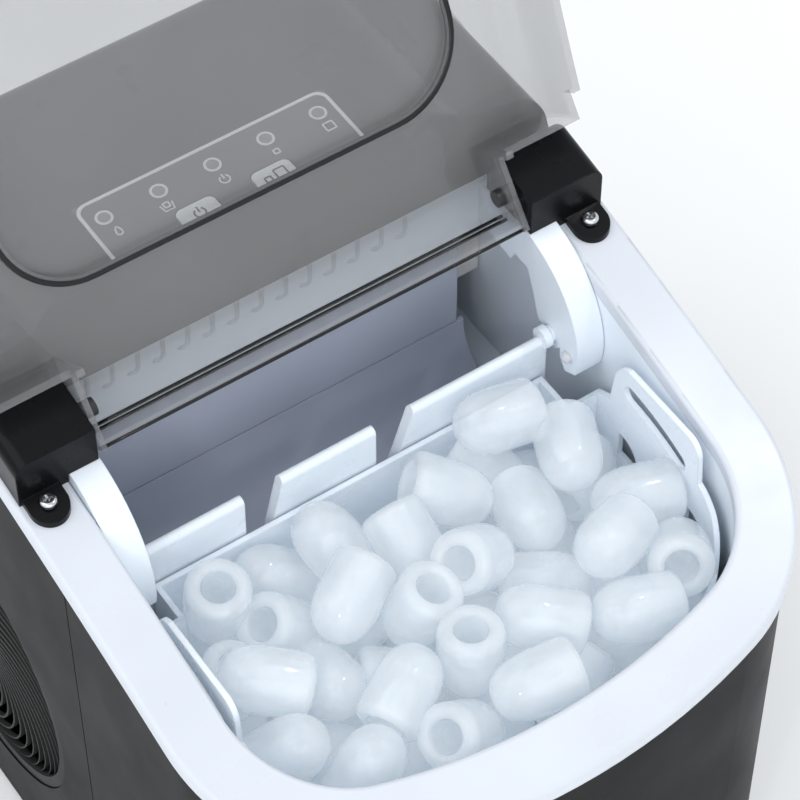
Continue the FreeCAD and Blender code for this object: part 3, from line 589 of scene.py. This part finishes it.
class ICEMAKER_OT_controls(bpy.types.Operator):
    """Finish the label, lights and keys and print their border, rings and symbols"""

    bl_idname = "icemaker.controls"
    bl_label = "Controls"

    def execute(self, context):
        looks = context.scene.icemaker_label
        film = Finish("label_film", (0.13, 0.135, 0.15), 0.42)
        film.tone(film.noise(0.02), 0.96, 1.05).relief(film.noise(0.0008), 0.00001)
        finish(film.material, "control_label")
        lens = Finish("lamp_lens", (0.30, 0.32, 0.33), 0.5, Specular_IOR_Level=0.2)
        lens.tone(lens.noise(0.002), 0.85, 1.1)
        finish(lens.material, "indicator_lenses")
        finish(satin("key_white", (0.92, 0.945, 0.95), 0.42), "button_on_off", "button_select")
        finish(metal("board", (0.04, 0.16, 0.08), 0.5, metallic=0.0), "control_board")
        ink = satin("pale_ink", looks.ink, 0.5)
        dark = satin("grey_ink", looks.key_ink, 0.5)
        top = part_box("control_label")[1].z
        lines = border_and_rings(looks.border, looks.stroke * LAMP_BOLD, top)
        for name, sheets, closed in lines:
            put(surface(name, sheets, closed, smooth=False), "housing", ink)
        for name, line, closed in panel_symbols():
            mark = print_line(name, line, looks.stroke, top, closed)
            put(mark, "housing", ink)
        for node, body, name, line, closed in key_symbols():
            mark = print_line(name, line, looks.stroke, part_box(node)[1].z, closed)
            put(mark, body, dark)
        return {"FINISHED"}


def print_line(name, line, width, top, closed):
    """A printed stroke: a thin slab carried along a flat line on a face at height top."""
    path = level(np.asarray(line, float) * MM, top)
    return surface(name, carried(path, slab(width), UPWARDS, closed)[None], closed, smooth=False)


def border_and_rings(border, ring, top):
    """The pale border, open to the front, and a ring round each lamp."""
    low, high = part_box("control_label")
    half = high.x / MM - BORDER_SIDE
    front, back = low.y / MM + BORDER_FRONT, high.y / MM - BORDER_SIDE
    left, right, turn = BORDER_CORNER - half, half - BORDER_CORNER, back - BORDER_CORNER
    line = np.concatenate(
        [
            [(-half, front)],
            arc((left, turn), BORDER_CORNER, 180, 90),
            arc((right, turn), BORDER_CORNER, 90, 0),
            [(half, front)],
        ]
    )
    edge = carried(level(line * MM, top), slab(border), UPWARDS)
    circle = level(arc((0, LAMP_Y), LAMP_RING, 0, 345, 24) * MM, top)
    round_lamp = carried(circle, slab(ring), UPWARDS, closed=True)
    rings = spaced(round_lamp, np.arange(-2, 3) * LAMP_PITCH * MM)
    return [("label_border", edge[None], False), ("lamp_rings", rings, True)]


def box_line(x, y, half, corner=0.35):
    """Outline of a small cube seen square on."""
    return rounded_frame(half, -half, half, corner, 4) + (x, y)


def panel_symbols():
    """Symbols under the lamps: drop, full basket, power, small piece and large piece.

    Places are in millimetres. The drop's outline at angle t is (a sin t sin(t / 2), b cos t) from
    its middle.
    """
    t = np.linspace(0, 2 * math.pi, 32, endpoint=False)
    drop = np.column_stack([-39 + 1.35 * np.sin(t) * np.sin(t / 2), 64.9 + 1.9 * np.cos(t)])
    return [
        ("mark_water", drop, True),
        ("mark_basket", [(-23.2, 66.2), (-22.6, 63.2), (-19.4, 63.2), (-18.8, 66.2)], False),
        ("mark_full", box_line(-21, 65.6, 1.0), True),
        ("mark_power_ring", arc((0, 64.6), 1.7, 125, 415), False),
        ("mark_power_bar", [(0, 64.8), (0, 67.0)], False),
        ("mark_small", box_line(20, 65.4, 0.95), True),
        ("mark_large", box_line(40, 65.2, 1.7), True),
    ]


def key_symbols():
    """Symbols on the keys: power on the left one, small and large pieces on the right one."""
    left, right = ("button_on_off", "key_on_off"), ("button_select", "key_select")
    return [
        (*left, "key_power_ring", arc((-14, 56.8), 1.9, 125, 415), False),
        (*left, "key_power_bar", [(-14, 57.0), (-14, 59.5)], False),
        (*right, "key_small", box_line(11.3, 56.4, 1.1), True),
        (*right, "key_large", box_line(16.2, 57.1, 1.9), True),
    ]


class ICEMAKER_OT_works(bpy.types.Operator):
    """Finish the cooling circuit, fan, pump and electrics inside the housing"""

    bl_idname = "icemaker.works"
    bl_label = "Works"

    def execute(self, context):
        finish(metal("black_gloss", (0.02,) * 3, 0.22, metallic=0.2), "compressor")
        finish(metal("fins", (0.72, 0.72, 0.74), 0.3, (1, 12, 1)), "condenser")
        copper = metal("copper", (0.72, 0.38, 0.22), 0.25)
        finish(copper, "suction_tube", "discharge_tube", "filter_drier")
        finish(satin("fan_black", (0.03,) * 3, 0.4), "fan_rotor", "fan_shroud")
        finish(satin("pump_white", (0.68, 0.68, 0.66), 0.45), "water_pump")
        finish(rubber("hose", (0.72, 0.73, 0.74), 0.35), "water_hose")
        finish(metal("power_board", (0.30, 0.22, 0.08), 0.5, metallic=0.0), "power_board")
        return {"FINISHED"}


class ICEMAKER_OT_ice(bpy.types.Operator):
    """Heap the basket with frosted bullet-shaped ice"""

    bl_idname = "icemaker.ice"
    bl_label = "Ice"

    def execute(self, context):
        looks = context.scene.icemaker_ice
        frost = Finish(
            "frosted_ice",
            looks.frost,
            0.2,
            Subsurface_Weight=0.6,
            Subsurface_Scale=0.01,
            Subsurface_Radius=(0.8, 1.0, 1.15),
            # Painted light: emission makes the ice glow, lifting its shade as light scattered
            # through the heap would.
            Emission_Color=(*looks.glow, 1),
            Emission_Strength=looks.scatter,
            Alpha=looks.cloud,
            Coat_Weight=0.9,
            Coat_Roughness=0.03,
            IOR=1.31,
        )
        frost.tone(frost.noise(0.012, 4.0), 0.93, 1.05)
        frost.sheen(frost.noise(0.012, 3.0), 0.12, 0.3)
        frost.relief(frost.noise(0.007, 3.0), 0.0005)
        middle, tip = settled(looks)
        shape = bullet(looks)
        top = len(TOP_ICE)
        for name, part in (("ice_top", slice(0, top)), ("ice_below", slice(top, None))):
            heap = surface(name, placed(shape, middle[part], tip[part]))
            put(heap, "basket", frost.material)
        return {"FINISHED"}


# Pieces seen on top of the heap: x, y, z of the middle in millimetres, then the heading and tilt of
# the round tip in degrees.
TOP_ICE = (
    (-64, -25, 176, 85, -80),
    (-42, -20, 173, 170, 45),
    (-20, -26, 182, 115, 45),
    (-3, -42, 180, -90, -25),
    (21, -31, 182, -35, -25),
    (51, -19, 190, 175, 10),
    (59, -41, 186, -115, 5),
    (12, -58, 184, 20, -40),
    (38, -51, 176, -105, 15),
    (68, -63, 180, 165, 5),
    (56, -80, 186, -155, 20),
    (72, -90, 176, 55, -35),
    (49, -94, 180, 165, 10),
    (14, -83, 178, 145, 15),
    (-13, -63, 178, 140, -70),
    (-31, -49, 182, -150, -15),
    (-48, -42, 172, 0, -50),
    (-4, -80, 172, -125, -85),
    (2, -100, 178, 170, -5),
    (-32, -82, 180, 30, 10),
    (-64, -57, 178, 145, 15),
    (-46, -69, 172, -100, 30),
    (-72, -79, 176, -35, 45),
    (-55, -91, 172, 0, 60),
    (-24, -99, 172, 15, -45),
    (-36, -92, 160, -125, 0),
    (-72, -44, 163, 155, -70),
    (-73, -31, 160, 145, 0),
    (34, -74, 168, -40, 10),
    (38, -96, 160, 145, 0),
    (43, -22, 168, -60, -20),
    (73, -36, 162, 30, 0),
    (55, -51, 160, 80, 0),
    (-9, -79, 156, 10, 30),
    (5, -58, 160, 120, 0),
    (-71, -60, 156, 40, 0),
    (51, -68, 164, 70, 10),
)


def bullet(looks):
    """One piece as a turned profile.

    The profile runs from the bottom of the bore, out over the flat end with two quarter rounds, up
    the side and over a blunt half oval to the tip; each point is (radius, height) from the middle.
    """
    radius, size = looks.diameter / 2, looks.size
    bore, depth = looks.bore / 2, looks.depth
    nose = size * ICE_NOSE
    t = np.radians(np.linspace(0, 90, 6))
    bottom = np.stack([bore * np.sin(t) * ICE_BORE_FOOT, depth - bore * (1 - np.cos(t))], 1)
    inner = np.stack([bore + ICE_LIP * (1 - np.cos(t)), ICE_LIP * (1 - np.sin(t))], 1)
    outer = np.stack([radius - ICE_EDGE * (1 - np.sin(t)), ICE_EDGE * (1 - np.cos(t))], 1)
    t = np.radians(np.linspace(0, 90, 10))
    across, along = radius * np.cos(t) ** ICE_ACROSS, nose * np.sin(t) ** ICE_ALONG
    over = np.stack([across, size - nose + along], 1)
    profile = np.concatenate([bottom, inner, outer, over])
    profile[0, 0] = profile[-1, 0] = 0.0
    profile[:, 1] -= size / 2
    turn = np.arange(ICE_SIDES) * 2 * math.pi / ICE_SIDES
    ring = np.stack([np.cos(turn), np.sin(turn)], 1)
    flat = profile[:, None, :1] * ring[None]
    return np.concatenate([flat, profile[:, None, 1:].repeat(ICE_SIDES, 1)], 2)


def placed(shape, middle, tip):
    """Copies of a shape whose own height points along each tip direction."""
    side = np.cross(tip, (0.31, 0.27, 0.91))
    side /= np.linalg.norm(side, axis=1, keepdims=True)
    third = np.cross(tip, side)
    axes = np.stack([side, third, tip], 1)
    return np.einsum("rcj,njk->nrck", shape, axes) + middle[:, None, None]


def settled(looks):
    """Middles and tip directions of every piece, eased apart.

    Each piece counts as two balls on its axis. Balls that overlap push each other apart by half the
    overlap, the lower layers giving way more, and each step ends inside the basket's walls.
    """
    chosen = np.array(TOP_ICE, float)
    chance = np.random.default_rng(7)
    x, y = np.meshgrid(COLUMNS, ROWS)
    lower = [
        np.stack([x + STAGGER * (k % 2), y, np.full_like(x, height)], -1).reshape(-1, 3)
        for k, height in enumerate(LAYERS[: looks.layers])
    ]
    filler = np.concatenate(lower)
    filler = filler + chance.uniform(-SCATTER, SCATTER, filler.shape)
    middle = np.concatenate([chosen[:, :3], filler]) * MM
    heading = np.radians(np.concatenate([chosen[:, 3], chance.uniform(0, 360, len(filler))]))
    tilt = np.radians(np.concatenate([chosen[:, 4], chance.uniform(-TILT, TILT, len(filler))]))
    flat = np.cos(tilt)
    tip = np.stack([flat * np.cos(heading), flat * np.sin(heading), np.sin(tilt)], 1)
    give = np.where(np.arange(len(middle)) < len(chosen), TOP_GIVE, 1.0)
    ball = looks.diameter / 2 - BALL_SLACK
    reach = looks.size / 2 - ball
    for _ in range(EASE_STEPS):
        ends = np.stack([middle + reach * tip, middle - reach * tip], 1)
        gap = ends[:, :, None, None] - ends[None, None]
        far = np.linalg.norm(gap, axis=-1)
        over = np.clip(2 * ball - far, 0, None)
        over[np.arange(len(middle)), :, np.arange(len(middle))] = 0
        share = give[:, None] / (give[:, None] + give[None])
        push = gap / np.maximum(far, NEARLY_ZERO)[..., None] * over[..., None]
        middle = middle + EASE * (push.sum((1, 3)) * share[..., None]).sum(1)
        middle = within_basket(middle, tip * reach, ball)
    return middle, tip


def within_basket(middle, half_axis, ball):
    """Shifts each piece so that both its balls are inside the basket's walls and floor."""
    low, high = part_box("basket")
    side, rear, room = high.x - WALL - ball, high.y - WALL - ball, CORNER_RADIUS - ball
    inner, step = NOTCH_X - ball, NOTCH_Y - ball
    for sign in (1, -1):
        end = middle + sign * half_axis
        moved = end.copy()
        moved[:, 0] = np.clip(end[:, 0], -side, side)
        moved[:, 1] = np.minimum(moved[:, 1], np.where(end[:, 2] < RAKE_FOOT, rear, RAKE_FACE))
        moved[:, 2] = np.maximum(end[:, 2], low.z + WALL + ball)
        front = BOW_MIDDLE - np.sqrt((BOW_RADIUS - ball) ** 2 - moved[:, 0] ** 2)
        moved[:, 1] = np.maximum(moved[:, 1], front)
        corner = np.stack([np.sign(moved[:, 0]) * CORNER_X, np.full(len(end), CORNER_Y)], 1)
        away = moved[:, :2] - corner
        beyond = (np.abs(moved[:, 0]) > CORNER_X) & (moved[:, 1] < CORNER_Y)
        far = np.linalg.norm(away, axis=1)
        pull = np.where(beyond & (far > room), room / np.maximum(far, NEARLY_ZERO), 1.0)
        moved[:, :2] = corner + away * pull[:, None]
        past_x, past_y = np.abs(moved[:, 0]) - inner, moved[:, 1] - step
        notched = (past_x > 0) & (past_y > 0)
        inwards = notched & (past_x < past_y)
        moved[:, 0] -= np.where(inwards, np.sign(moved[:, 0]) * past_x, 0)
        moved[:, 1] -= np.where(notched & ~inwards, past_y, 0)
        middle = middle + (moved - end)
    return middle


class ICEMAKER_OT_stage(bpy.types.Operator):
    """Lay the pale floor, hang the soft lights and set the camera"""

    bl_idname = "icemaker.stage"
    bl_label = "Studio"

    def execute(self, context):
        looks = context.scene.icemaker_studio
        scene = context.scene
        line = np.linspace(-FLOOR_HALF, FLOOR_HALF, FLOOR_LINES)
        x, y = np.meshgrid(line, line)
        sheet = np.stack([x, y, np.full_like(x, -FLOOR_DROP)], -1)
        floor = surface("floor", sheet[None], wrap_columns=False)
        paper = Finish("pale_paper", looks.floor, 0.9)
        paper.tone(paper.noise(0.4), 0.99, 1.0).relief(paper.noise(0.003), 0.00002)
        floor.data.materials.append(paper.material)
        for name, place, size, power in SOFT_BOXES:
            soft_box(name, place, size, getattr(looks, power))
        world = bpy.data.worlds.new("studio")
        world.use_nodes = True
        sky = world.node_tree.nodes["Background"]
        sky.inputs["Color"].default_value = SKY
        sky.inputs["Strength"].default_value = looks.sky
        scene.world = world
        scene.view_settings.view_transform = "Standard"
        camera = bpy.data.objects.new("camera", bpy.data.cameras.new("camera"))
        scene.collection.objects.link(camera)
        camera.data.lens = CAMERA_LENS
        camera.data.sensor_width = 36.0
        camera.data.clip_end = 20.0
        camera.location = CAMERA_PLACE
        turn, dip = math.radians(CAMERA_TURN), math.radians(CAMERA_DIP)
        flat = math.cos(dip)
        point(camera, Vector((-math.sin(turn) * flat, math.cos(turn) * flat, -math.sin(dip))))
        scene.camera = camera
        return {"FINISHED"}


def soft_box(name, place, size, power):
    """A square light that faces the middle of the object."""
    light = bpy.data.lights.new(name, "AREA")
    light.size = size
    light.energy = power
    box = bpy.data.objects.new(name, light)
    bpy.context.scene.collection.objects.link(box)
    box.location = place
    point(box, Vector(AIM_POINT) - Vector(place))


def point(thing, aim):
    """Turns a camera or a light to look along aim, with its top upwards."""
    thing.rotation_euler = aim.to_track_quat("-Z", "Y").to_euler()


STEPS = (
    ICEMAKER_OT_panels,
    ICEMAKER_OT_rim,
    ICEMAKER_OT_liner,
    ICEMAKER_OT_lid,
    ICEMAKER_OT_freezer,
    ICEMAKER_OT_controls,
    ICEMAKER_OT_works,
    ICEMAKER_OT_ice,
    ICEMAKER_OT_stage,
)
GROUPS = {
    "icemaker_shell": ShellLooks,
    "icemaker_lid": LidLooks,
    "icemaker_label": LabelLooks,
    "icemaker_ice": IceLooks,
    "icemaker_studio": StudioLooks,
}


class ICEMAKER_PT_sidebar(bpy.types.Panel):
    """Sizes, colours and steps of the ice maker"""

    bl_idname = "ICEMAKER_PT_sidebar"
    bl_label = "Ice Maker"
    bl_space_type = "VIEW_3D"
    bl_region_type = "UI"
    bl_category = "Ice Maker"

    def draw(self, context):
        for group, looks in GROUPS.items():
            area = self.layout.box()
            for entry in looks.__annotations__:
                area.prop(getattr(context.scene, group), entry)
        for step in STEPS:
            self.layout.operator(step.bl_idname)


def register():
    for made in (*GROUPS.values(), *STEPS, ICEMAKER_PT_sidebar):
        bpy.utils.register_class(made)
    for group, looks in GROUPS.items():
        setattr(bpy.types.Scene, group, PointerProperty(type=looks))


def unregister():
    for group in GROUPS:
        delattr(bpy.types.Scene, group)
    for made in reversed((*GROUPS.values(), *STEPS, ICEMAKER_PT_sidebar)):
        bpy.utils.unregister_class(made)


def main():
    register()
    bpy.ops.icemaker.panels()
    bpy.ops.icemaker.rim()
    bpy.ops.icemaker.liner()
    bpy.ops.icemaker.lid()
    bpy.ops.icemaker.freezer()
    bpy.ops.icemaker.controls()
    bpy.ops.icemaker.works()
    bpy.ops.icemaker.ice()
    bpy.ops.icemaker.stage()


if __name__ == "__main__":
    main()
